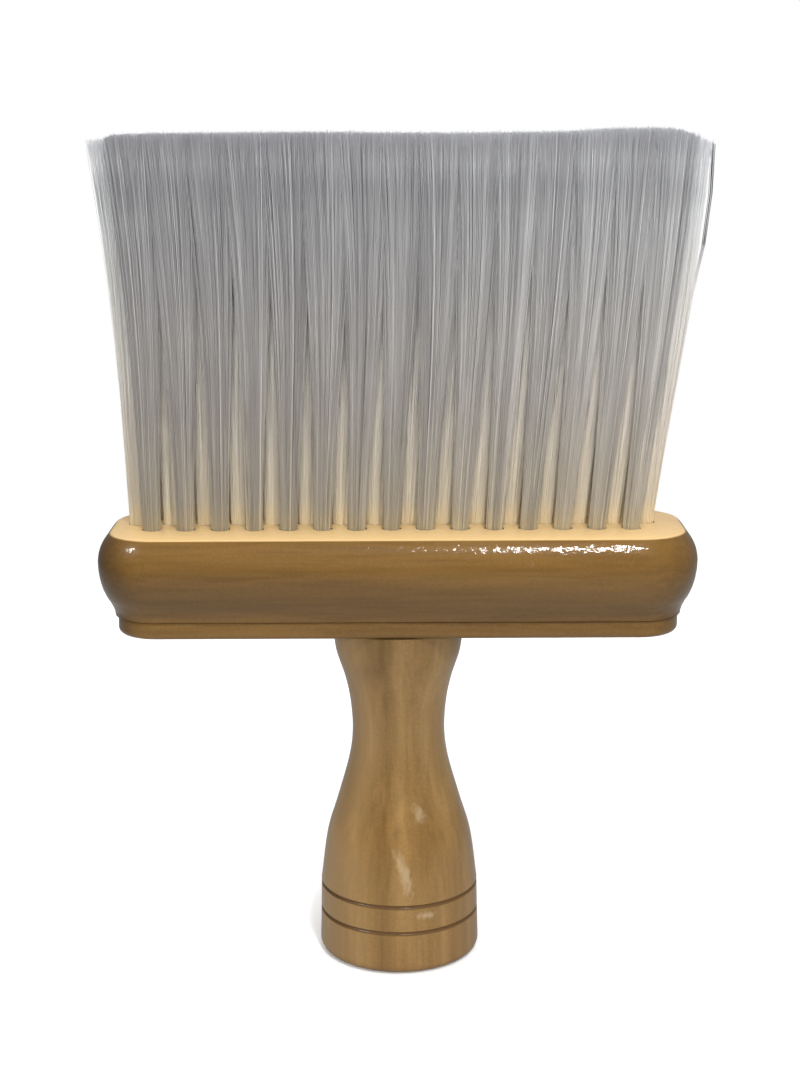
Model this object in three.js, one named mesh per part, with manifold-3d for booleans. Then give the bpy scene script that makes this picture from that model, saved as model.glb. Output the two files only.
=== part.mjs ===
// Neck duster brush: a routed hardwood block on a turned handle, with three staggered rows of
// staple-set nylon tufts. Millimetres, +Z up. The origin is the centre of the handle's foot, X runs
// along the block and Y across it.

import * as THREE from 'three';
import { mergeVertices } from 'three/addons/utils/BufferGeometryUtils.js';
import Module from 'manifold-3d';

const wasm = await Module();
wasm.setup();

// Overall sizes
const TOTAL_HEIGHT = 196;
const BLOCK_LENGTH = 140;
const BLOCK_DEPTH = 40;
const BLOCK_BOTTOM_Z = 82;
const BLOCK_HEIGHT = 24;
const BLOCK_TOP_Z = BLOCK_BOTTOM_Z + BLOCK_HEIGHT;
const GAP = 0.3; // between pieces that touch on the real brush

// Block outline and moulding, as insets from the widest outline
const CORNER_RADIUS = 14;
const CORNER_STEPS = 7;
const BULGE_Z = BLOCK_TOP_Z - 7.2;
const TOP_INSET = 3.2;
const WAIST_INSET = 3.65;
const QUIRK_INSET = 4.3;
const QUIRK_Z = BLOCK_BOTTOM_Z + 4.3;
const INFLECTION_INSET = 2.5; // where the ogee turns from hollow to round
const INFLECTION_Z = BULGE_Z - 9.1;
const EDGE_ROUND = 0.6;
const LOWER_ROUND = 1.4;

// Tufts
const TUFT_PITCH = 8;
const ROW_SPACING = 6.6;
const ROOT_OFFSET = { x: -1.6, y: 1.5 }; // the holes are drilled a little off the block's centre
const TIP_OFFSET = { x: 0.6, y: 1.5 };
const TUFT_ROOT_RADIUS = 2;
const HOLE_RADIUS = 2.33;
const HOLE_DEPTH = 10;
const HOLE_SIDES = 12;
const TIP_PITCH = 8.7;
const TIP_ROW_SPACING = 8.3;
const TIP_CELL_GAP = 0.5;
const TUFT_SIDES = 12;
const TUFT_RISE = 2; // straight length above the hole, before the tuft spreads
const TIP_SQUARENESS = 4; // exponent of the tip's rounded-square outline; 2 is an ellipse
const TUFT_ROWS = [
  { name: 'front', side: -1, count: 15 },
  { name: 'middle', side: 0, count: 16 },
  { name: 'rear', side: 1, count: 15 },
];

// Handle
const HANDLE_TOP_Z = BLOCK_BOTTOM_Z - GAP;
const HANDLE_TOP_RADIUS = 15.5;
const FOOT_RADIUS = 19.4;
const FOOT_TAPER = 0.02; // radius lost for each millimetre up from the foot
const FOOT_ROUND = 2.2;
const GROOVE_Z = [10.4, 17];
const GROOVE_WIDTH = 1;
const GROOVE_DEPTH = 0.6;
const SPIGOT_RADIUS = 7;
const SPIGOT_LENGTH = 10;
const SPIGOT_CHAMFER = 1;
const HANDLE_SIDES = 40;

const blockWood = new THREE.MeshStandardMaterial({ color: 0xa8824a, roughness: 0.25, metalness: 0 });
const handleWood = new THREE.MeshStandardMaterial({ color: 0xb08a56, roughness: 0.4, metalness: 0 });
const nylon = new THREE.MeshStandardMaterial({ color: 0xc9c9cc, roughness: 0.35, metalness: 0 });

// Closed body through a stack of equal-length rings of points, lowest ring first, each ring
// counter-clockwise from above and convex.
function loft(rings) {
  const sides = rings[0].length;
  const positions = rings.flat().flatMap((p) => [p.x, p.y, p.z]);
  const index = [];
  for (let r = 0; r + 1 < rings.length; r += 1) {
    for (let i = 0; i < sides; i += 1) {
      const a = r * sides + i;
      const b = r * sides + ((i + 1) % sides);
      index.push(a, b, b + sides, a, b + sides, a + sides);
    }
  }
  const top = (rings.length - 1) * sides;
  for (let i = 1; i + 1 < sides; i += 1) {
    index.push(0, i + 1, i);
    index.push(top, top + i, top + i + 1);
  }
  const geometry = new THREE.BufferGeometry();
  geometry.setAttribute('position', new THREE.Float32BufferAttribute(positions, 3));
  geometry.setIndex(index);
  return geometry;
}

function toSolid(geometry) {
  const bare = geometry.clone();
  bare.deleteAttribute('normal');
  bare.deleteAttribute('uv');
  const merged = mergeVertices(bare);
  return new wasm.Manifold(new wasm.Mesh({
    numProp: 3,
    vertProperties: new Float32Array(merged.attributes.position.array),
    triVerts: new Uint32Array(merged.index.array),
  }));
}

function toGeometry(solid) {
  const mesh = solid.getMesh();
  const geometry = new THREE.BufferGeometry();
  geometry.setAttribute('position', new THREE.BufferAttribute(mesh.vertProperties, 3));
  geometry.setIndex(new THREE.BufferAttribute(mesh.triVerts, 1));
  geometry.computeVertexNormals();
  return geometry;
}

// Upright cylinder standing on z = bottom.
function post(radius, bottom, height, sides) {
  const geometry = new THREE.CylinderGeometry(radius, radius, height, sides);
  return geometry.rotateX(Math.PI / 2).translate(0, 0, bottom + height / 2);
}

// One level of the block: a rectangle with round corners, set in from the widest outline.
function blockRing({ inset, z }) {
  const radius = CORNER_RADIUS - inset;
  const cx = BLOCK_LENGTH / 2 - CORNER_RADIUS;
  const cy = BLOCK_DEPTH / 2 - CORNER_RADIUS;
  const corners = [[1, 1], [-1, 1], [-1, -1], [1, -1]];
  return corners.flatMap(([sx, sy], quarter) => Array.from({ length: CORNER_STEPS + 1 }, (_, i) => {
    const angle = (quarter + i / CORNER_STEPS) * Math.PI / 2;
    return new THREE.Vector3(
      sx * cx + radius * Math.cos(angle),
      sy * cy + radius * Math.sin(angle),
      z,
    );
  }));
}

// The moulding from the underside up: fillet, quirk, ogee, bulge and the arc up to the top face.
function blockProfile() {
  const point = (inset, z) => new THREE.Vector2(inset, z);
  const cove = new THREE.CubicBezierCurve(
    point(WAIST_INSET, QUIRK_Z + 0.1),
    point(WAIST_INSET, QUIRK_Z + 1.3),
    point(INFLECTION_INSET + 0.55, INFLECTION_Z - 1.1),
    point(INFLECTION_INSET, INFLECTION_Z),
  );
  const swell = new THREE.CubicBezierCurve(
    point(INFLECTION_INSET, INFLECTION_Z),
    point(INFLECTION_INSET - 1.2, INFLECTION_Z + 1.6),
    point(0, BULGE_Z - 4.3),
    point(0, BULGE_Z),
  );
  const rise = BLOCK_TOP_Z - BULGE_Z;
  const arcRadius = (TOP_INSET ** 2 + rise ** 2) / (2 * TOP_INSET);
  const arcEnd = Math.asin((rise - EDGE_ROUND / 2) / arcRadius);
  const shoulder = [1, 2, 3, 4].map((i) => {
    const angle = arcEnd * i / 4;
    return point(arcRadius * (1 - Math.cos(angle)), BULGE_Z + arcRadius * Math.sin(angle));
  });
  const levels = [
    point(QUIRK_INSET + LOWER_ROUND, BLOCK_BOTTOM_Z),
    point(QUIRK_INSET + LOWER_ROUND * 0.29, BLOCK_BOTTOM_Z + LOWER_ROUND * 0.29),
    point(QUIRK_INSET, BLOCK_BOTTOM_Z + LOWER_ROUND),
    point(QUIRK_INSET, QUIRK_Z),
    ...cove.getPoints(3),
    ...swell.getPoints(4).slice(1),
    ...shoulder,
    point(TOP_INSET + EDGE_ROUND / 2, BLOCK_TOP_Z),
  ];
  return levels.map((p) => ({ inset: p.x, z: p.y }));
}

function tuftPlaces() {
  return TUFT_ROWS.flatMap(({ name, side, count }) => Array.from({ length: count }, (_, i) => ({
    name: `tuft_${name}_${String(i + 1).padStart(2, '0')}`,
    column: i - (count - 1) / 2,
    side,
  })));
}

function brushBlock() {
  let solid = toSolid(loft(blockProfile().map(blockRing)));
  const hole = toSolid(post(HOLE_RADIUS, BLOCK_TOP_Z - HOLE_DEPTH, HOLE_DEPTH + 1, HOLE_SIDES));
  for (const { column, side } of tuftPlaces()) {
    const x = ROOT_OFFSET.x + column * TUFT_PITCH;
    const y = ROOT_OFFSET.y + side * ROW_SPACING;
    solid = solid.subtract(hole.translate([x, y, 0]));
  }
  const socketDepth = SPIGOT_LENGTH + GAP;
  const socket = toSolid(post(SPIGOT_RADIUS + GAP, BLOCK_BOTTOM_Z - 1, socketDepth + 1, HANDLE_SIDES));
  return toGeometry(solid.subtract(socket));
}

function footRadius(z) {
  return FOOT_RADIUS - FOOT_TAPER * z;
}

// Turned outline above the grooves: belly, neck and flare, as one smooth curve.
function handleOutline() {
  const start = GROOVE_Z[1] + GROOVE_WIDTH / 2;
  return new THREE.SplineCurve([
    new THREE.Vector2(footRadius(start), start),
    new THREE.Vector2(17.4, 29.5),
    new THREE.Vector2(14.9, 38),
    new THREE.Vector2(12, 48.4),
    new THREE.Vector2(11.1, 55.5),
    new THREE.Vector2(11.5, 62.6),
    new THREE.Vector2(12.7, 68.8),
    new THREE.Vector2(14.8, 75.5),
    new THREE.Vector2(HANDLE_TOP_RADIUS, HANDLE_TOP_Z - 1),
  ]);
}

function groove(z) {
  const radius = footRadius(z);
  return [
    new THREE.Vector2(footRadius(z - GROOVE_WIDTH / 2), z - GROOVE_WIDTH / 2),
    new THREE.Vector2(radius - GROOVE_DEPTH, z - GROOVE_WIDTH / 6),
    new THREE.Vector2(radius - GROOVE_DEPTH, z + GROOVE_WIDTH / 6),
    new THREE.Vector2(footRadius(z + GROOVE_WIDTH / 2), z + GROOVE_WIDTH / 2),
  ];
}

function handle() {
  const footArc = [0, 1, 2, 3].map((i) => {
    const angle = (i / 3 - 1) * Math.PI / 2;
    return new THREE.Vector2(
      FOOT_RADIUS + FOOT_ROUND * (Math.cos(angle) - 1),
      FOOT_ROUND * (Math.sin(angle) + 1),
    );
  });
  const spigotTop = BLOCK_BOTTOM_Z + SPIGOT_LENGTH;
  const outline = [
    new THREE.Vector2(0, 0),
    ...footArc,
    ...GROOVE_Z.flatMap(groove),
    ...handleOutline().getPoints(20).slice(1),
    new THREE.Vector2(HANDLE_TOP_RADIUS, HANDLE_TOP_Z),
    new THREE.Vector2(SPIGOT_RADIUS, HANDLE_TOP_Z),
    new THREE.Vector2(SPIGOT_RADIUS, spigotTop - SPIGOT_CHAMFER),
    new THREE.Vector2(SPIGOT_RADIUS - SPIGOT_CHAMFER, spigotTop),
    new THREE.Vector2(0, spigotTop),
  ];
  return new THREE.LatheGeometry(outline, HANDLE_SIDES).rotateX(Math.PI / 2);
}

// Outline of a tuft at one level. It spreads from a circle at the root to a rounded square at the
// tip, and leans outwards, so that neighbours never meet.
function tuftRing({ column, side }, z) {
  const spreadStart = BLOCK_TOP_Z + TUFT_RISE;
  const spread = Math.max(0, (z - spreadStart) / (TOTAL_HEIGHT - spreadStart));
  const mix = THREE.MathUtils.lerp;
  const offsetX = mix(ROOT_OFFSET.x, TIP_OFFSET.x, spread);
  const offsetY = mix(ROOT_OFFSET.y, TIP_OFFSET.y, spread);
  const centreX = offsetX + column * mix(TUFT_PITCH, TIP_PITCH, spread);
  const centreY = offsetY + side * mix(ROW_SPACING, TIP_ROW_SPACING, spread);
  const halfX = mix(TUFT_ROOT_RADIUS, (TIP_PITCH - TIP_CELL_GAP) / 2, spread);
  const halfY = mix(TUFT_ROOT_RADIUS, (TIP_ROW_SPACING - TIP_CELL_GAP) / 2, spread);
  const power = 2 / mix(2, TIP_SQUARENESS, spread);
  return Array.from({ length: TUFT_SIDES }, (_, i) => {
    const angle = (i + 0.5) * 2 * Math.PI / TUFT_SIDES;
    const c = Math.cos(angle);
    const s = Math.sin(angle);
    return new THREE.Vector3(
      centreX + halfX * Math.sign(c) * Math.abs(c) ** power,
      centreY + halfY * Math.sign(s) * Math.abs(s) ** power,
      z,
    );
  });
}

function tuft(place) {
  const rootZ = BLOCK_TOP_Z - HOLE_DEPTH + GAP;
  const spreadStart = BLOCK_TOP_Z + TUFT_RISE;
  const levels = [rootZ, spreadStart, (spreadStart + TOTAL_HEIGHT) / 2, TOTAL_HEIGHT];
  return loft(levels.map((z) => tuftRing(place, z)));
}

function named(name, geometry, material) {
  const mesh = new THREE.Mesh(geometry, material);
  mesh.name = name;
  return mesh;
}

const brush = new THREE.Group();
brush.add(named('brush_block', brushBlock(), blockWood));
brush.add(named('handle', handle(), handleWood));
for (const place of tuftPlaces()) {
  brush.add(named(place.name, tuft(place), nylon));
}

export default brush;
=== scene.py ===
import math

import bmesh
import bpy
import numpy as np
from mathutils import Matrix, Vector


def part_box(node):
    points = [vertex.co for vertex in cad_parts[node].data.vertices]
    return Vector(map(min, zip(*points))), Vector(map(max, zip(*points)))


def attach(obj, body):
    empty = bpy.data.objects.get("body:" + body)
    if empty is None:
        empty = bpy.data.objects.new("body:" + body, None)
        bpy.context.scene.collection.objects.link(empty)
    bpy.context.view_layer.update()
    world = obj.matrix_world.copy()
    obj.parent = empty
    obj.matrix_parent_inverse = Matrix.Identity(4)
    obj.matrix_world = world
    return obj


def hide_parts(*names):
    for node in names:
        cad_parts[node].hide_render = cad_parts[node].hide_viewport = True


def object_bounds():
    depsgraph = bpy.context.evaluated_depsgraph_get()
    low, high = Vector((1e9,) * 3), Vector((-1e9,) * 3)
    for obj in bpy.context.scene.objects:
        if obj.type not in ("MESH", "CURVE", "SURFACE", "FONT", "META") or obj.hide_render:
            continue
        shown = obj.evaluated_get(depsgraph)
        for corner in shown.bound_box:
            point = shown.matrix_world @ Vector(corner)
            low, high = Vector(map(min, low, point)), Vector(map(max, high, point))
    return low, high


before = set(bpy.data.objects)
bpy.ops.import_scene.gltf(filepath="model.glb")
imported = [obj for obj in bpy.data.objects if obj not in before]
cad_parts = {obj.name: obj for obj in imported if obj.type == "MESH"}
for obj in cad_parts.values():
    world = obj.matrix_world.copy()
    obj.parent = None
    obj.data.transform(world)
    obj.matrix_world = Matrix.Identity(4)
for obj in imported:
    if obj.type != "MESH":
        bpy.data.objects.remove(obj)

MM = 0.001
cad_box = [list(corner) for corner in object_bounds()]
block_low, block_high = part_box("brush_block")
handle_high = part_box("handle")[1]
rng = np.random.default_rng(7)

# Block moulding, as insets from its widest outline (the same shape as the CAD block)
CORNER_RADIUS = 14 * MM
BULGE_DROP = 7.2 * MM
TOP_INSET = 3.2 * MM
WAIST_INSET = 3.65 * MM
QUIRK_INSET = 4.3 * MM
QUIRK_RISE = 4.3 * MM
INFLECTION_INSET = 2.5 * MM
INFLECTION_DROP = 9.1 * MM
LOWER_ROUND = 1.4 * MM

# Tuft holes and the socket for the handle
HOLE_RADIUS = 2.15 * MM
HOLE_DEPTH = 10 * MM
SOCKET_RADIUS = 7.1 * MM
SOCKET_DEPTH = 10.3 * MM

# Handle
HANDLE_TOP_RADIUS = 15.5 * MM
FOOT_RADIUS = 19.4 * MM
FOOT_TAPER = 0.02
FOOT_ROUND = 2.2 * MM
GROOVE_Z = (10.4 * MM, 17 * MM)
GROOVE_WIDTH = 1.1 * MM
GROOVE_DEPTH = 0.6 * MM
SPIGOT_RADIUS = 7 * MM
JOINT_GAP = 0.12 * MM

# Pale patches on the handle: centre (x, z), half size (x, z), turn in degrees
PALE_PATCHES = (
    ((1.1 * MM, 25.6 * MM), (1.8 * MM, 7.5 * MM), -18),
    ((4.8 * MM, 38.8 * MM), (1.6 * MM, 3.8 * MM), -32),
    ((6.4 * MM, 14.7 * MM), (3 * MM, 1.1 * MM), 0),
)

# Colours, dark to light where there are three
BLOCK_WOOD = ((0.096, 0.051, 0.014), (0.118, 0.063, 0.016), (0.14, 0.075, 0.019))
# painted shade: the block's ends are darkened towards this, the left end more
BLOCK_ENDS_PAINTED_SHADE = (0.03, 0.015, 0.004)
UPWARD_PALE = (0.84, 0.58, 0.27)
HANDLE_WOOD = ((0.148, 0.084, 0.029), (0.2, 0.116, 0.042), (0.262, 0.16, 0.062))
# painted light: the handle's sides are lightened towards this, the left more
HANDLE_SIDES_PAINTED_LIGHT = (0.4, 0.26, 0.12)
PALE_PATCH_COLOUR = (0.42, 0.33, 0.21)
# painted shade in the handle's grooves
GROOVE_PAINTED_SHADE = (0.11, 0.06, 0.024)

# Shading painted into the colours, from the bottom (0) to the top (1) of the piece
BLOCK_SHADE = (
    (0.0, (1.14, 1.12, 1.04)), (0.15, (1.12, 1.1, 1.03)), (0.175, (0.76, 0.76, 0.76)),
    (0.195, (0.87, 0.86, 0.87)), (0.24, (0.87, 0.86, 0.89)), (0.5, (0.79, 0.79, 0.8)),
    (0.6, (0.89, 0.87, 0.83)), (0.8, (1.04, 1.01, 0.92)), (1.0, (1.1, 1.07, 0.95)))
HANDLE_SHADE = (
    (0.0, (1.0, 0.98, 0.98)), (0.22, (0.94, 0.94, 0.92)), (0.42, (0.92, 0.89, 0.78)),
    (0.6, (0.96, 0.98, 1.0)), (0.85, (0.95, 0.98, 1.04)), (1.0, (0.68, 0.69, 0.7)))
NYLON_SHADE = (
    (0.0, (0.98, 0.83, 0.54)), (0.07, (0.89, 0.81, 0.66)), (0.3, (0.9, 0.855, 0.785)),
    (0.5, (0.99, 0.97, 0.93)), (0.8, (0.98, 0.985, 0.985)), (0.93, (0.83, 0.84, 0.855)),
    (1.0, (0.58, 0.59, 0.62)))
# The same, by a strand's own tone
STRAND_SHADE = (
    (0.0, (0.12, 0.125, 0.13)), (0.04, (0.53, 0.52, 0.53)), (0.5, (0.86, 0.86, 0.86)),
    (1.0, (1, 1, 1)))

# Filaments
FILAMENTS = 700
FILAMENT_RADIUS = 0.058 * MM
FILAMENT_STEPS = 8
STEP_EASE = 0.9
TIP_TAPER = 0.7
ROOT_RADIUS = 1.95 * MM
TIP_RADIUS = 5.6 * MM
FLARE = 1.25  # how late a tuft opens out: 1 is a straight cone
SWAY = 0.9 * MM  # the whole brush bows a little to the right
SWAY_EASE = 1.3

# How unevenly the filaments lie: standard deviations in millimetres, for a clump and for a strand
CLUMPS = 14
CLUMP_LEAN = 0.22
STRAND_LEAN = 0.3
CLUMP_BOW = 0.2
STRAND_BOW = 0.16
CUT_UNEVENNESS = 0.28
DISORDER = 0.03  # of a strand's place, as a part of the tuft's radius
STRAYS = ((0.2, 1.9), (0.01, 2.2))  # share of the strands, how many times further they lean
SHORT_SHARE = 0.05
SHORT_BY = (0.5, 5)

# Height of the cut line above its nominal height, along the brush: (x, height) in millimetres
TIP_LINE = (
    (-71, -1.4), (-66, -1.2), (-63.5, -0.2), (-52, 0), (-20, 0.15), (12, -0.2), (38, 0), (50, 0.7),
    (62, 0.7), (67, -0.6), (72, -2.4))

# Tone of a strand, 0 dark to 1 pale. The front row is given a darker tone than the others, as painted
# shade.
PAINTED_ROW_TONE = {"front": 0.15, "middle": 0.88, "rear": 0.88}
# painted light: the right end of the brush is made a little paler
PAINTED_LIGHT_SLOPE = 2.2  # per metre: the right end of the brush is a little paler
TONE_SPREAD = 0.06
TONE_RANGE = (0.05, 1)
PALE_SHARE = 0.06
PALE_BY = 0.5

# Dark strands that bow out at the right end, on tufts whose tip lies right of LOOSE_FROM
LOOSE_STRANDS = 12
LOOSE_BOW = 1.3 * MM
LOOSE_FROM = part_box("tuft_front_15")[1].x - 2 * MM
LOOSE_WIDEST = 0.8  # along the strand, as are the next two
LOOSE_SPAN = 0.13
LOOSE_DARK_FROM = 0.7

# Wire anchors: length, thickness, height
ANCHOR_SIZE = (4.9 * MM, 0.35 * MM, 1.5 * MM)
ANCHOR_BEVEL = 0.1 * MM
ANCHOR_TOP = 1.9 * MM  # where the filaments start, above the hole's bottom

# Camera and lights
LENS, SENSOR = 62.1, 36
CAMERA_PLACE = (0.55 * MM, -434.5 * MM, 199.9 * MM)
CAMERA_DOWN, CAMERA_ROLL = 12.85, -0.24  # degrees
WHITE = (1, 1, 1)
LIGHTS = (  # name, place, target, size, power, colour
    ("ceiling", (0, -0.05, 1.1), (0, 0, 0.1), (1.0, 0.6), 7, (1, 0.98, 0.95)),
    ("lamp_right", (0.165, -0.61, 0.85), (0.04, 0, 0.1), (0.09, 0.09), 5, WHITE),
    ("lamp_left", (-0.687, -0.344, 0.74), (-0.06, 0, 0.1), (0.12, 0.12), 6.5, WHITE),
    ("back_glow", (0, 0.6, 0.25), (0, 0, 0.15), (0.6, 0.3), 3, WHITE),
    ("front_fill", (-0.03, -1.0, 0.36), (0, 0, 0.13), (0.35, 0.25), 10.6, WHITE),
)
NO_HIGHLIGHT = ("ceiling", "back_glow", "front_fill")
ONLY_HIGHLIGHT = ("lamp_left",)
ROOM_STRENGTH = (0.18, 0.34)  # from left to right
FLOOR_RADIUS = 2.4
FLOOR_FADE = (0.1, 0.55)  # distances from the brush between which the floor fades out


# ---------------------------------------------------------------- camera, lights, stage

def set_range(node, start, end, low=0.0, high=1.0):
    """A MapRange node takes start to end onto low to high."""
    for name, value in (("From Min", start), ("From Max", end), ("To Min", low), ("To Max", high)):
        node.inputs[name].default_value = value


def make_camera():
    data = bpy.data.cameras.new("camera")
    data.lens = LENS
    data.sensor_width = SENSOR
    camera = bpy.data.objects.new("camera", data)
    bpy.context.scene.collection.objects.link(camera)
    camera.location = CAMERA_PLACE
    pitch = Matrix.Rotation(math.radians(90 - CAMERA_DOWN), 4, "X")
    roll = Matrix.Rotation(math.radians(CAMERA_ROLL), 4, "Z")
    camera.rotation_euler = (pitch @ roll).to_euler()
    bpy.context.scene.camera = camera


def area_light(name, location, target, size, power, colour):
    data = bpy.data.lights.new(name, "AREA")
    data.shape = "RECTANGLE"
    data.size, data.size_y = size
    data.energy = power
    data.color = colour
    light = bpy.data.objects.new(name, data)
    bpy.context.scene.collection.objects.link(light)
    light.location = location
    light.rotation_euler = (Vector(location) - Vector(target)).to_track_quat("Z", "Y").to_euler()
    return light


def make_lights():
    for name, *settings in LIGHTS:
        light = area_light(name, *settings)
        if name in NO_HIGHLIGHT:
            light.visible_camera = False
            light.visible_glossy = False
        if name in ONLY_HIGHLIGHT:
            light.visible_diffuse = False
            light.visible_transmission = False


def make_world():
    """White to the camera; as a light, a dim room that is a little brighter on the right."""
    world = bpy.data.worlds.new("studio")
    bpy.context.scene.world = world
    world.use_nodes = True
    nodes, links = world.node_tree.nodes, world.node_tree.links
    nodes.clear()
    output = nodes.new("ShaderNodeOutputWorld")
    mix = nodes.new("ShaderNodeMixShader")
    room = nodes.new("ShaderNodeBackground")
    backdrop = nodes.new("ShaderNodeBackground")
    ray = nodes.new("ShaderNodeLightPath")
    place = nodes.new("ShaderNodeTexCoord")
    axes = nodes.new("ShaderNodeSeparateXYZ")
    side = nodes.new("ShaderNodeMapRange")
    room.inputs["Color"].default_value = (0.97, 0.98, 1, 1)
    backdrop.inputs["Color"].default_value = (1, 1, 1, 1)
    backdrop.inputs["Strength"].default_value = 1.0
    set_range(side, -0.8, 0.8, *ROOM_STRENGTH)
    links.new(place.outputs["Generated"], axes.inputs[0])
    links.new(axes.outputs["X"], side.inputs["Value"])
    links.new(side.outputs["Result"], room.inputs["Strength"])
    links.new(ray.outputs["Is Camera Ray"], mix.inputs["Fac"])
    links.new(room.outputs["Background"], mix.inputs[1])
    links.new(backdrop.outputs["Background"], mix.inputs[2])
    links.new(mix.outputs["Shader"], output.inputs["Surface"])


def make_floor():
    """A pale disc that fades into the backdrop, so that no horizon shows from any side."""
    mesh = bpy.data.meshes.new("floor")
    shape = bmesh.new()
    bmesh.ops.create_circle(shape, cap_ends=True, segments=96, radius=FLOOR_RADIUS)
    shape.to_mesh(mesh)
    shape.free()
    floor = bpy.data.objects.new("floor", mesh)
    bpy.context.scene.collection.objects.link(floor)
    floor.location.z = cad_box[0][2] - 0.05 * MM
    mesh.materials.append(floor_material())


# ---------------------------------------------------------------- node helpers

class Shading:
    """A material with a Principled shader and short ways to add nodes to it."""

    def __init__(self, name):
        self.material = bpy.data.materials.new(name)
        self.material.use_nodes = True
        self.tree = self.material.node_tree
        self.shader = self.tree.nodes["Principled BSDF"]
        self.output = self.tree.nodes["Material Output"]

    def node(self, kind, **settings):
        made = self.tree.nodes.new("ShaderNode" + kind)
        for key, value in settings.items():
            setattr(made, key, value)
        return made

    def link(self, source, target):
        self.tree.links.new(source, target)

    def coordinates(self, scale, turn=(0, 0, 0)):
        place = self.node("TexCoord")
        mapping = self.node("Mapping")
        mapping.inputs["Scale"].default_value = scale
        mapping.inputs["Rotation"].default_value = turn
        self.link(place.outputs["Object"], mapping.inputs["Vector"])
        return mapping.outputs["Vector"]

    def noise(self, vector, detail, distortion=0.0):
        noise = self.node("TexNoise")
        noise.inputs["Scale"].default_value = 1.0
        noise.inputs["Detail"].default_value = detail
        noise.inputs["Distortion"].default_value = distortion
        self.link(vector, noise.inputs["Vector"])
        return noise.outputs["Fac"]

    def ramp(self, value, stops):
        ramp = self.node("ValToRGB")
        elements = ramp.color_ramp.elements
        while len(elements) < len(stops):
            elements.new(0.5)
        for element, (position, colour) in zip(elements, stops):
            element.position = position
            element.color = (*colour, 1)
        self.link(value, ramp.inputs["Fac"])
        return ramp.outputs["Color"]

    def mix(self, factor, a, b, blend="MIX"):
        mix = self.node("Mix", data_type="RGBA", blend_type=blend)
        for socket, value in ((mix.inputs[0], factor), (mix.inputs[6], a), (mix.inputs[7], b)):
            if isinstance(value, bpy.types.NodeSocket):
                self.link(value, socket)
            elif isinstance(value, tuple):
                socket.default_value = (*value, 1)
            else:
                socket.default_value = value
        return mix.outputs[2]

    def remap(self, value, start, end, low=0.0, high=1.0, smooth=False):
        """value, from start to end, taken onto low to high and held there."""
        kind = "SMOOTHSTEP" if smooth else "LINEAR"
        spread = self.node("MapRange", interpolation_type=kind)
        set_range(spread, start, end, low, high)
        self.link(value, spread.inputs["Value"])
        return spread.outputs["Result"]

    def bump(self, height, strength, distance):
        bump = self.node("Bump")
        bump.inputs["Strength"].default_value = strength
        bump.inputs["Distance"].default_value = distance
        self.link(height, bump.inputs["Height"])
        return bump.outputs["Normal"]

    def math(self, operation, value, other=None):
        """other is a number or a socket, or is left out."""
        made = self.node("Math", operation=operation)
        self.link(value, made.inputs[0])
        if isinstance(other, bpy.types.NodeSocket):
            self.link(other, made.inputs[1])
        elif other is not None:
            made.inputs[1].default_value = other
        return made.outputs[0]

    def length(self, vector):
        made = self.node("VectorMath", operation="LENGTH")
        self.link(vector, made.inputs[0])
        return made.outputs["Value"]

    def height(self):
        """Height of the shaded point, in metres."""
        axes = self.node("SeparateXYZ")
        self.link(self.node("TexCoord").outputs["Object"], axes.inputs[0])
        return axes.outputs["Z"]

    def facing(self, axis):
        """How far the surface faces along an axis, from -1 to 1."""
        axes = self.node("SeparateXYZ")
        self.link(self.node("NewGeometry").outputs["Normal"], axes.inputs[0])
        return axes.outputs[axis]

    def blend(self, factor, first, second):
        """Two shaders mixed into the material's output; factor is a number or a socket."""
        mix = self.node("MixShader")
        if isinstance(factor, bpy.types.NodeSocket):
            self.link(factor, mix.inputs["Fac"])
        else:
            mix.inputs["Fac"].default_value = factor
        self.link(first.outputs["BSDF"], mix.inputs[1])
        self.link(second.outputs["BSDF"], mix.inputs[2])
        self.link(mix.outputs["Shader"], self.output.inputs["Surface"])

    def set(self, **values):
        for name, value in values.items():
            self.shader.inputs[name.replace("_", " ")].default_value = value


def floor_material():
    """Pale and matt, darker as a bounce light than to the eye, fading out to the white backdrop."""
    s = Shading("pale_floor")
    s.set(Roughness=0.9, Specular_IOR_Level=0.0)
    ray = s.node("LightPath").outputs["Is Camera Ray"]
    s.link(s.mix(ray, (0.5, 0.5, 0.5), (0.97, 0.97, 0.97)), s.shader.inputs["Base Color"])
    distance = s.length(s.node("TexCoord").outputs["Object"])
    s.blend(s.remap(distance, *FLOOR_FADE, smooth=True), s.shader, s.node("BsdfTransparent"))
    return s.material


# ---------------------------------------------------------------- materials

def turned_sides(s, colour, shade, left, right):
    """colour, mixed towards shade where the surface turns to the left and to the right: painted shade on
    the block's ends and painted light on the handle's sides.
    """
    across = s.facing("X")
    for side, amount in ((-1, left), (1, right)):
        turned = s.remap(across, 0.25 * side, 0.95 * side, 0, amount, smooth=True)
        colour = s.mix(turned, colour, shade)
    return colour


def wood_colour(s, bands, fibres, palette, contrast):
    """Straight-grained wood: broad soft bands, fine fibres and a faint speckle. bands and fibres are
    the coordinates their noises are read at."""
    dark, middle, light = palette
    base = s.ramp(s.noise(bands, 2, 0.5), [(0.3, dark), (0.5, middle), (0.72, light)])
    fibre = s.noise(fibres, 4, 0.2)
    streak = s.ramp(fibre, [(0.3, (0.72, 0.7, 0.66)), (0.55, (1, 1, 1)), (0.8, (1.12, 1.1, 1.06))])
    speckle = s.ramp(
        s.noise(s.coordinates((1800, 1800, 1800)), 1),
        [(0.3, (0.93, 0.93, 0.92)), (0.7, (1.08, 1.07, 1.05))])
    grained = s.mix(contrast, base, streak, "MULTIPLY")
    return s.mix(1.0, grained, speckle, "MULTIPLY"), fibre


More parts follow.
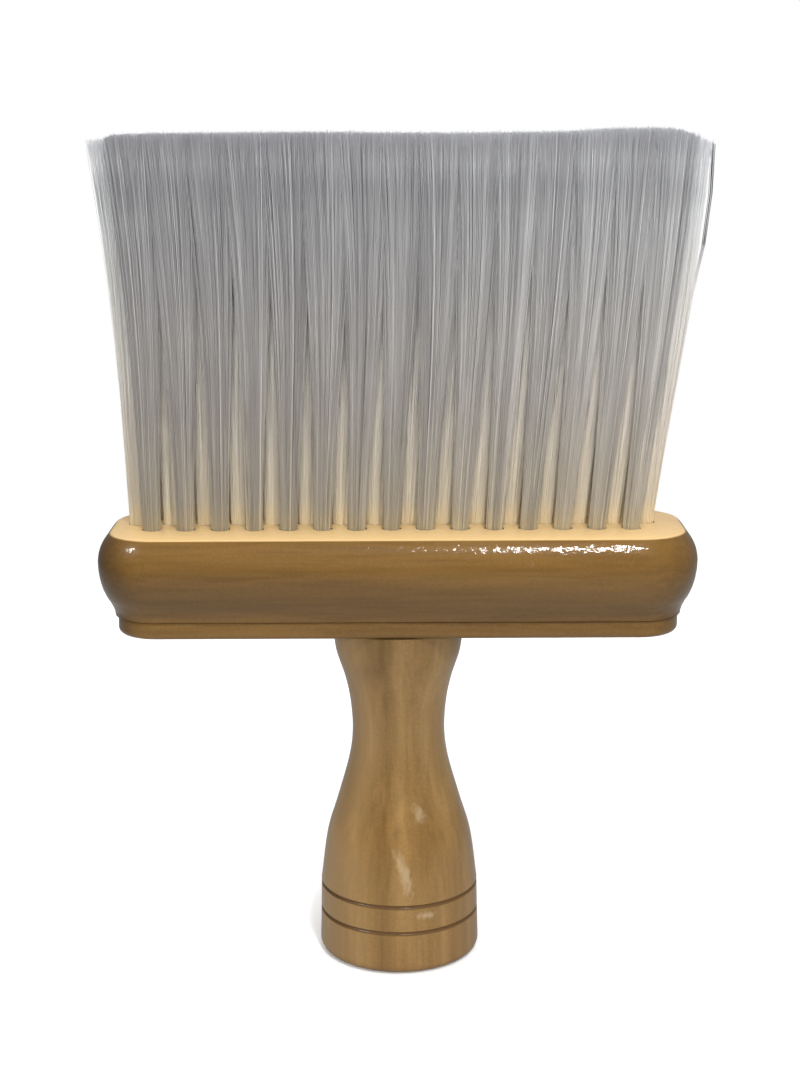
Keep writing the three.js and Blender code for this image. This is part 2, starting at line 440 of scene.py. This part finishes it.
def block_wood():
    s = Shading("varnished_block_wood")
    slope = (0, math.radians(2.5), 0)
    colour, fibre = wood_colour(
        s, s.coordinates((6, 70, 75), slope), s.coordinates((50, 800, 800), slope), BLOCK_WOOD, 0.55)
    # painted light and shade by height, multiplied into the wood colour
    shade = s.ramp(s.remap(s.height(), block_low.z, block_high.z), BLOCK_SHADE)
    painted_shade_colour = s.mix(1.0, colour, shade, "MULTIPLY")
    # painted shade on the block's ends, stronger on the left
    painted_shade_colour = turned_sides(s, painted_shade_colour, BLOCK_ENDS_PAINTED_SHADE, left=0.42, right=0.08)
    # faces that point up are mixed towards a paler colour
    upward = s.remap(s.facing("Z"), 0.75, 0.95, smooth=True)
    pale = s.mix(0.8, colour, UPWARD_PALE)
    s.link(s.mix(upward, painted_shade_colour, pale), s.shader.inputs["Base Color"])
    s.link(s.remap(fibre, 0, 1, 0.3, 0.55), s.shader.inputs["Roughness"])
    s.link(s.bump(fibre, 0.2, 0.0002), s.shader.inputs["Normal"])
    film = s.noise(s.coordinates((520, 800, 800)), 2)
    s.link(s.bump(film, 1.0, 0.00014), s.shader.inputs["Coat Normal"])
    s.set(Specular_IOR_Level=0.1, Coat_Weight=0.6, Coat_Roughness=0.11, Coat_IOR=1.5)
    return s.material


def pale_patch(s, centre, half, turn):
    """A faint pale patch on the front of the handle: a slanted, ragged ellipse."""
    mapping = s.node("Mapping", vector_type="TEXTURE")
    mapping.inputs["Location"].default_value = (centre[0], -20 * MM, centre[1])
    mapping.inputs["Rotation"].default_value = (0, math.radians(turn), 0)
    mapping.inputs["Scale"].default_value = (half[0], 16 * MM, half[1])
    s.link(s.node("TexCoord").outputs["Object"], mapping.inputs["Vector"])
    ragged = s.noise(s.coordinates((1100, 1100, 500)), 3)
    away = s.length(mapping.outputs["Vector"])
    edge = s.math("ADD", away, s.remap(ragged, 0, 1, -0.5, 0.9))
    return s.remap(edge, 0.4, 1.25, 0.38, 0, smooth=True)


def handle_wood():
    s = Shading("varnished_handle_wood")
    colour, fibre = wood_colour(
        s, s.coordinates((130, 130, 5)), s.coordinates((800, 800, 40)), HANDLE_WOOD, 0.5)
    height = s.height()
    shade = s.ramp(s.remap(height, 0, block_low.z), HANDLE_SHADE)
    colour = s.mix(1.0, colour, shade, "MULTIPLY")
    # painted light on the handle's sides, stronger on the left
    colour = turned_sides(s, colour, HANDLE_SIDES_PAINTED_LIGHT, left=0.4, right=0.06)
    for centre, half, turn in PALE_PATCHES:
        colour = s.mix(pale_patch(s, centre, half, turn), colour, PALE_PATCH_COLOUR)
    # painted shade darkens the grooves
    for z in GROOVE_Z:
        away = s.math("ABSOLUTE", s.math("SUBTRACT", height, z))
        clear = s.remap(away, GROOVE_WIDTH * 0.3, GROOVE_WIDTH * 0.62, smooth=True)
        colour = s.mix(clear, GROOVE_PAINTED_SHADE, colour)
    s.link(colour, s.shader.inputs["Base Color"])
    s.link(s.remap(fibre, 0, 1, 0.3, 0.5), s.shader.inputs["Roughness"])
    s.link(s.bump(fibre, 0.2, 0.0002), s.shader.inputs["Normal"])
    film = s.noise(s.coordinates((400, 400, 200)), 3)
    s.link(s.bump(film, 0.3, 0.0003), s.shader.inputs["Coat Normal"])
    s.set(Specular_IOR_Level=0.1, Coat_Weight=0.25, Coat_Roughness=0.22, Coat_IOR=1.5)
    return s.material


def nylon():
    """Pale nylon filament that lets some light through. Its grey comes from the strand's tone, which
    holds painted shade on the front row, and its warm roots, a painted reflection of the wood, and
    darker tips, painted shade, from the height."""
    s = Shading("clear_nylon")
    tone = s.node("Attribute", attribute_name="tone").outputs["Fac"]
    # painted reflection of the wood at the roots and painted shade at the tips, by height
    level = s.remap(s.height(), block_high.z, cad_box[1][2])
    colour = s.mix(1.0, s.ramp(tone, STRAND_SHADE), s.ramp(level, NYLON_SHADE), "MULTIPLY")
    s.link(colour, s.shader.inputs["Base Color"])
    s.set(Roughness=0.28, IOR=1.53)
    through = s.node("BsdfTranslucent")
    s.link(colour, through.inputs["Color"])
    s.blend(0.4, s.shader, through)
    return s.material


def anchor_steel():
    s = Shading("anchor_steel")
    s.set(Base_Color=(0.55, 0.55, 0.55, 1), Metallic=1.0)
    drawn = s.noise(s.coordinates((200, 4000, 4000)), 3)
    s.link(s.remap(drawn, 0, 1, 0.25, 0.5), s.shader.inputs["Roughness"])
    return s.material


# ---------------------------------------------------------------- mesh helpers

def add_object(name, mesh, material):
    piece = bpy.data.objects.new(name, mesh)
    bpy.context.scene.collection.objects.link(piece)
    mesh.materials.clear()
    mesh.materials.append(material)
    return piece


def settle(piece, slot, *nodes):
    """Every piece of the brush rides on its one body; slot is not used."""
    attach(piece, "root")
    if nodes:
        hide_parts(*nodes)
    return piece


def loft(name, rings):
    """Closed mesh through rings of points, lowest first, with flat n-gon ends."""
    count = len(rings[0])
    vertices = [point for ring in rings for point in ring]
    faces = []
    for r in range(len(rings) - 1):
        for i in range(count):
            a = r * count + i
            b = r * count + (i + 1) % count
            faces.append((a, b, b + count, a + count))
    faces.append(tuple(reversed(range(count))))
    faces.append(tuple(range((len(rings) - 1) * count, len(rings) * count)))
    mesh = bpy.data.meshes.new(name)
    mesh.from_pydata(vertices, [], faces)
    return mesh


def bezier(points, steps):
    """Points along a cubic Bezier curve, both ends included."""
    t = np.linspace(0, 1, steps + 1)[:, None]
    a, b, c, d = (np.array(p) for p in points)
    return (1 - t) ** 3 * a + 3 * (1 - t) ** 2 * t * b + 3 * (1 - t) * t ** 2 * c + t ** 3 * d


def arc(centre, radius, start, end, steps):
    angles = np.linspace(start, end, steps + 1)
    return np.column_stack((centre[0] + radius * np.cos(angles), centre[1] + radius * np.sin(angles)))


def turns(count):
    """Angles of count points round a circle."""
    return np.arange(count) * 2 * math.pi / count


def circle(angles, radius, z, centre=(0, 0)):
    """Points at the angles; radius is one number or one for each point."""
    return np.column_stack((
        centre[0] + radius * np.cos(angles), centre[1] + radius * np.sin(angles),
        np.full(len(angles), z)))


def subtract(piece, cutter):
    """Cuts the cutter object out of piece and removes it."""
    cut = piece.modifiers.new("cut", "BOOLEAN")
    cut.operation = "DIFFERENCE"
    cut.solver = "EXACT"
    cut.object = cutter
    bpy.context.view_layer.update()
    evaluated = piece.evaluated_get(bpy.context.evaluated_depsgraph_get())
    mesh = bpy.data.meshes.new_from_object(evaluated)
    piece.modifiers.clear()
    piece.data = mesh
    bpy.data.objects.remove(cutter)


def smooth(mesh, degrees):
    mesh.shade_smooth()
    mesh.set_sharp_from_angle(angle=math.radians(degrees))


# ---------------------------------------------------------------- block

def block_profile():
    """(inset, height) from the underside up: fillet, quirk, ogee, bulge and the arc to the top face."""
    bottom, top = block_low.z, block_high.z
    bulge = top - BULGE_DROP
    quirk = bottom + QUIRK_RISE
    turn = bulge - INFLECTION_DROP
    cove = bezier([
        (WAIST_INSET, quirk + 0.12 * MM), (WAIST_INSET, quirk + 1.3 * MM),
        (INFLECTION_INSET + 0.55 * MM, turn - 1.1 * MM), (INFLECTION_INSET, turn)], 12)
    swell = bezier([
        (INFLECTION_INSET, turn), (INFLECTION_INSET - 1.2 * MM, turn + 1.6 * MM),
        (0, bulge - 4.3 * MM), (0, bulge)], 14)
    rise = top - bulge
    radius = (TOP_INSET ** 2 + rise ** 2) / (2 * TOP_INSET)
    end = math.asin((rise - 0.35 * MM) / radius)
    shoulder = arc((-radius, bulge), radius, 0, end, 12) * (-1, 1)
    centre = (-(QUIRK_INSET + LOWER_ROUND), bottom + LOWER_ROUND)
    fillet_round = arc(centre, LOWER_ROUND, -math.pi / 2, 0, 8)
    edge = [(TOP_INSET + 0.05 * MM, top - 0.1 * MM), (TOP_INSET + 0.4 * MM, top)]
    return np.vstack([
        fillet_round * (-1, 1),
        [(QUIRK_INSET, quirk - 0.3 * MM), (QUIRK_INSET + 0.2 * MM, quirk - 0.1 * MM)],
        [(WAIST_INSET + 0.3 * MM, quirk)], cove, swell[1:], shoulder[1:], edge])


def block_ring(inset, z):
    """A rectangle with round corners, counter-clockwise from above."""
    steps = 20
    radius = CORNER_RADIUS - inset
    corner = np.array([block_high.x, block_high.y]) - CORNER_RADIUS
    points = []
    for quarter, sign in enumerate(((1, 1), (-1, 1), (-1, -1), (1, -1))):
        centre = corner * sign
        start = quarter * math.pi / 2
        points.append(arc(centre, radius, start, start + math.pi / 2, steps))
    outline = np.vstack(points)
    return np.column_stack((outline, np.full(len(outline), z)))


def hole_cutter(centre, top):
    """One drilled hole: its mouth is torn a little wider and less round than its wall."""
    sides = 28
    tear = np.clip(rng.normal(0.1, 0.12, sides), 0, 0.45) * MM
    tear = (tear + np.roll(tear, 1)) / 2
    levels = ((top - HOLE_DEPTH, 0), (top - 0.45 * MM, 0), (top - 0.02 * MM, 1), (top + MM, 1.4))
    return loft("hole", [
        circle(turns(sides), HOLE_RADIUS + tear * torn, z, centre) for z, torn in levels])


def make_block(material, roots):
    rings = [block_ring(inset, z) for inset, z in block_profile()]
    block = add_object("varnished_block", loft("varnished_block", rings), material)
    joined = bmesh.new()
    for root in roots:
        joined.from_mesh(hole_cutter(root, block_high.z))
    ends = (block_low.z - MM, block_low.z + SOCKET_DEPTH)
    joined.from_mesh(loft("socket", [circle(turns(64), SOCKET_RADIUS, z) for z in ends]))
    cutters = bpy.data.meshes.new("cutters")
    joined.to_mesh(cutters)
    joined.free()
    cutter = bpy.data.objects.new("cutters", cutters)
    bpy.context.scene.collection.objects.link(cutter)
    subtract(block, cutter)
    smooth(block.data, 32)
    return settle(block, "block_wood", "brush_block")


# ---------------------------------------------------------------- handle

def smooth_curve(points, steps):
    """Catmull-Rom curve through the points."""
    padded = np.vstack([2 * points[0] - points[1], points, 2 * points[-1] - points[-2]])
    t = np.linspace(0, 1, steps, endpoint=False)[:, None]
    runs = []
    for a, b, c, d in zip(padded, padded[1:], padded[2:], padded[3:]):
        runs.append(0.5 * (
            2 * b + (c - a) * t + (2 * a - 5 * b + 4 * c - d) * t ** 2
            + (3 * b - a - 3 * c + d) * t ** 3))
    return np.vstack([*runs, points[-1:]])


def handle_profile():
    """(radius, height) from the centre of the foot round to the top of the spigot."""
    joint = block_low.z - JOINT_GAP
    foot = arc((FOOT_RADIUS - FOOT_ROUND, FOOT_ROUND), FOOT_ROUND, -math.pi / 2, 0, 8)
    grooves = []
    for z in GROOVE_Z:
        radius = FOOT_RADIUS - FOOT_TAPER * z
        across = np.linspace(-1, 1, 13)
        depth = GROOVE_DEPTH * np.cos(across * math.pi / 2) ** 0.7
        grooves.append(np.column_stack((radius - depth, z + across * GROOVE_WIDTH / 2)))
    start = GROOVE_Z[1] + GROOVE_WIDTH / 2
    belly = np.array([
        (FOOT_RADIUS - FOOT_TAPER * start, start),
        (17.4 * MM, 29.5 * MM), (14.9 * MM, 38 * MM), (12 * MM, 48.4 * MM), (11.1 * MM, 55.5 * MM),
        (11.5 * MM, 62.6 * MM), (12.7 * MM, 68.8 * MM), (14.8 * MM, 75.5 * MM),
        (HANDLE_TOP_RADIUS, joint - MM)])
    spigot = [
        (HANDLE_TOP_RADIUS, joint - 0.2 * MM), (HANDLE_TOP_RADIUS - 0.2 * MM, joint),
        (SPIGOT_RADIUS, joint), (SPIGOT_RADIUS, handle_high.z - MM),
        (SPIGOT_RADIUS - MM, handle_high.z)]
    return np.vstack([foot, *grooves, smooth_curve(belly, 12)[1:], spigot])


def make_handle(material):
    mesh = loft("turned_handle", [circle(turns(160), r, z) for r, z in handle_profile()])
    smooth(mesh, 35)
    return settle(add_object("turned_handle", mesh, material), "handle_wood", "handle")


# ---------------------------------------------------------------- tufts

def ring_centre(node, z):
    """Centre of a CAD tuft's end face at height z."""
    points = np.array([v.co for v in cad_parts[node].data.vertices])
    return points[np.abs(points[:, 2] - z) < 0.05 * MM].mean(axis=0)


def disc(count):
    """Points spread evenly over a unit disc, a little disordered."""
    index = np.arange(count) + 0.5
    radius = np.sqrt(index / count)
    angle = index * math.pi * (3 - math.sqrt(5))
    points = np.column_stack((radius * np.cos(angle), radius * np.sin(angle)))
    return points + rng.normal(0, DISORDER, points.shape)


def scatter(spot):
    """The clump of each filament, and how far it leans at the tip and bows on the way, as (x, y)."""
    seeds = disc(CLUMPS)
    clump = np.argmin(((spot[:, None] - seeds[None]) ** 2).sum(axis=2), axis=1)
    clump_lean = rng.normal(0, CLUMP_LEAN, (CLUMPS, 2)) * MM
    clump_bow = rng.normal(0, CLUMP_BOW, (CLUMPS, 2)) * MM
    lean = clump_lean[clump] + rng.normal(0, STRAND_LEAN, spot.shape) * MM
    for share, factor in STRAYS:
        lean[rng.random(FILAMENTS) < share] *= factor
    bow = clump_bow[clump] + rng.normal(0, STRAND_BOW, spot.shape) * MM
    return clump, lean, bow


def cut_heights(x, nominal):
    """Heights of the filament ends at x, along the uneven cut line; a few are cut short."""
    places, rises = np.array(TIP_LINE).T * MM
    end = nominal + np.interp(x, places, rises) + rng.normal(0, CUT_UNEVENNESS, FILAMENTS) * MM
    short = rng.random(FILAMENTS) < SHORT_SHARE
    end[short] -= rng.uniform(*SHORT_BY, short.sum()) * MM
    return end


def strand_tones(painted_row_tone, x, clump):
    # the row's tone holds painted shade on the front row; random spread per clump and strand
    tone = (
        painted_row_tone + PAINTED_LIGHT_SLOPE * x + rng.normal(0, TONE_SPREAD, CLUMPS)[clump]
        + rng.normal(0, TONE_SPREAD, FILAMENTS) + PALE_BY * (rng.random(FILAMENTS) < PALE_SHARE))
    return np.clip(tone, *TONE_RANGE)


def filament_paths(root, tip, painted_row_tone):
    """Centre lines of one tuft's filaments: (filament, step, xyz), and their tones: (filament, step)."""
    spot = disc(FILAMENTS)
    clump, lean, bow = scatter(spot)
    mouth = block_high.z + MM
    packed = spot * ROOT_RADIUS
    spread = spot * TIP_RADIUS + lean
    end_x = tip[0] + spread[:, 0]
    end = cut_heights(end_x, tip[2])
    steps = np.concatenate(([0], np.linspace(0, 1, FILAMENT_STEPS) ** STEP_EASE))
    paths = np.empty((FILAMENTS, len(steps), 3))
    for k, t in enumerate(steps):
        axis = root[:2] + (tip[:2] - root[:2]) * t
        wave = bow * math.sin(math.pi * t) * t
        paths[:, k, :2] = axis + packed + (spread - packed) * t ** FLARE + wave
        paths[:, k, 0] += SWAY * math.sin(math.pi * t ** SWAY_EASE)
        paths[:, k, 2] = mouth + (end - mouth) * t if k else root[2]
    tone = strand_tones(painted_row_tone, tip[0], clump)
    tone = np.repeat(tone[:, None], len(steps), axis=1)
    if tip[0] > LOOSE_FROM:
        loose = np.argsort(end_x)[-LOOSE_STRANDS:]
        paths[loose, :, 0] += LOOSE_BOW * np.exp(-((steps - LOOSE_WIDEST) / LOOSE_SPAN) ** 2)
        tone[np.ix_(loose, steps > LOOSE_DARK_FROM)] = 0
    return paths, tone


def filament_mesh(name, paths, tone):
    """Three-sided closed tubes along the paths."""
    count, steps, _ = paths.shape
    turn = rng.uniform(0, 2 * math.pi, count)[:, None] + turns(3)
    width = FILAMENT_RADIUS * np.concatenate((np.ones(steps - 1), [TIP_TAPER]))
    around = np.stack((np.cos(turn), np.sin(turn), np.zeros_like(turn)), axis=2)
    points = paths[:, :, None, :] + around[:, None, :, :] * width[None, :, None, None]
    first = (np.arange(count) * steps * 3)[:, None, None]
    level = (np.arange(steps - 1) * 3)[None, :, None]
    side = np.arange(3)[None, None, :]
    a = first + level + side
    b = first + level + (side + 1) % 3
    walls = np.stack((a, b, b + 3, a + 3), axis=3).reshape(-1, 4)
    base = first[:, :, 0]
    foot = base + np.array([[2, 1, 0]])
    head = base + (steps - 1) * 3 + np.array([[0, 1, 2]])
    mesh = bpy.data.meshes.new(name)
    mesh.vertices.add(points.size // 3)
    mesh.vertices.foreach_set("co", points.ravel())
    corners = np.concatenate((walls.ravel(), foot.ravel(), head.ravel()))
    mesh.loops.add(len(corners))
    mesh.loops.foreach_set("vertex_index", corners)
    starts = np.concatenate((
        np.arange(len(walls)) * 4, len(walls) * 4 + np.arange(2 * count) * 3))
    mesh.polygons.add(len(starts))
    mesh.polygons.foreach_set("loop_start", starts)
    mesh.update(calc_edges=True)
    mesh.shade_smooth()
    tones = mesh.attributes.new("tone", "FLOAT", "POINT")
    tones.data.foreach_set("value", np.repeat(tone.ravel(), 3).astype(np.float32))
    return mesh


def make_tufts(material, nodes):
    for node in nodes:
        low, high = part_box(node)
        root = ring_centre(node, low.z)
        tip = ring_centre(node, high.z)
        root[2] += ANCHOR_TOP
        painted_row_tone = PAINTED_ROW_TONE[node.split("_")[1]]
        mesh = filament_mesh("filaments_" + node, *filament_paths(root, tip, painted_row_tone))
        settle(add_object("filaments_" + node, mesh, material), "nylon_bristle", node)


def make_anchors(material, roots):
    """Flat wire anchors across the hole bottoms, driven into the wood at both ends."""
    shape = bmesh.new()
    size = Matrix.Diagonal((*ANCHOR_SIZE, 1))
    for x, y, z in roots:
        place = Matrix.Translation((x, y, z + ANCHOR_SIZE[2] / 2)) @ size
        made = bmesh.ops.create_cube(shape, size=1, matrix=place)
        edges = {e for v in made["verts"] for e in v.link_edges}
        bmesh.ops.bevel(
            shape, geom=list(edges), offset=ANCHOR_BEVEL, segments=2, affect="EDGES")
    mesh = bpy.data.meshes.new("wire_anchors")
    shape.to_mesh(mesh)
    shape.free()
    settle(add_object("wire_anchors", mesh, material), "anchor_wire")


# ---------------------------------------------------------------- the brush

bpy.context.scene.view_settings.view_transform = "Standard"
make_camera()
make_lights()
make_world()
make_floor()
tuft_nodes = sorted(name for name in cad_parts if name.startswith("tuft_"))
roots = [ring_centre(node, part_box(node)[0].z) for node in tuft_nodes]
make_block(block_wood(), roots)
make_handle(handle_wood())
make_tufts(nylon(), tuft_nodes)
make_anchors(anchor_steel(), roots)
